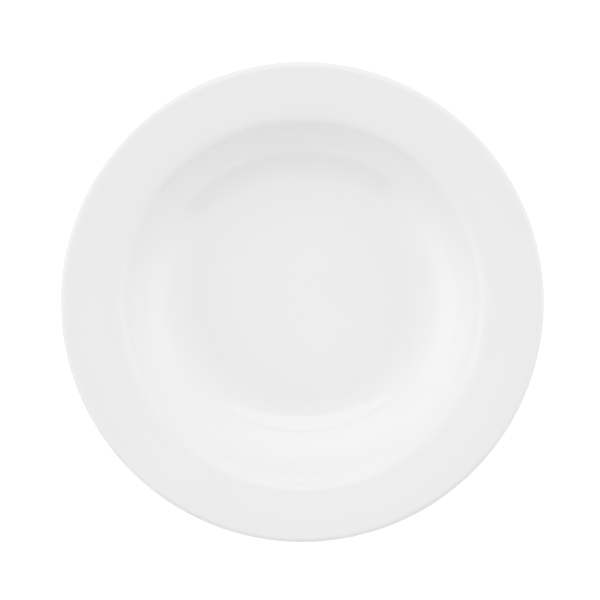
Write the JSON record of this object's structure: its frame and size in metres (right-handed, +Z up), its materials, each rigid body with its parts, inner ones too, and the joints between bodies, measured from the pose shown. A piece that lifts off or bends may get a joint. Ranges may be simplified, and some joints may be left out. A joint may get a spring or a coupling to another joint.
{
  "type": "deep dessert plate",
  "caption": "Round deep plate with a wide, slightly raised rim, a flat-floored well with curved walls and a foot ring, in plain white glazed porcelain.",
  "frame": {"origin": "centre of the foot ring's standing face, on the surface that the plate stands on", "axes": "+Z up along the plate's axis, out of the well; X and Y are alike on a round plate, and +Y points to the top of the picture"},
  "size_m": [0.22, 0.22, 0.0352],
  "materials": {
    "porcelain": "bare fired porcelain, matt, wiped clean of glaze and ground smooth on the standing face",
    "glaze": "plain white glaze, fired glossy"
  },
  "bodies": {
    "root": {"porcelain_body": "porcelain", "outer_glaze": "glaze", "base_glaze": "glaze"}
  },
  "joints": []
}
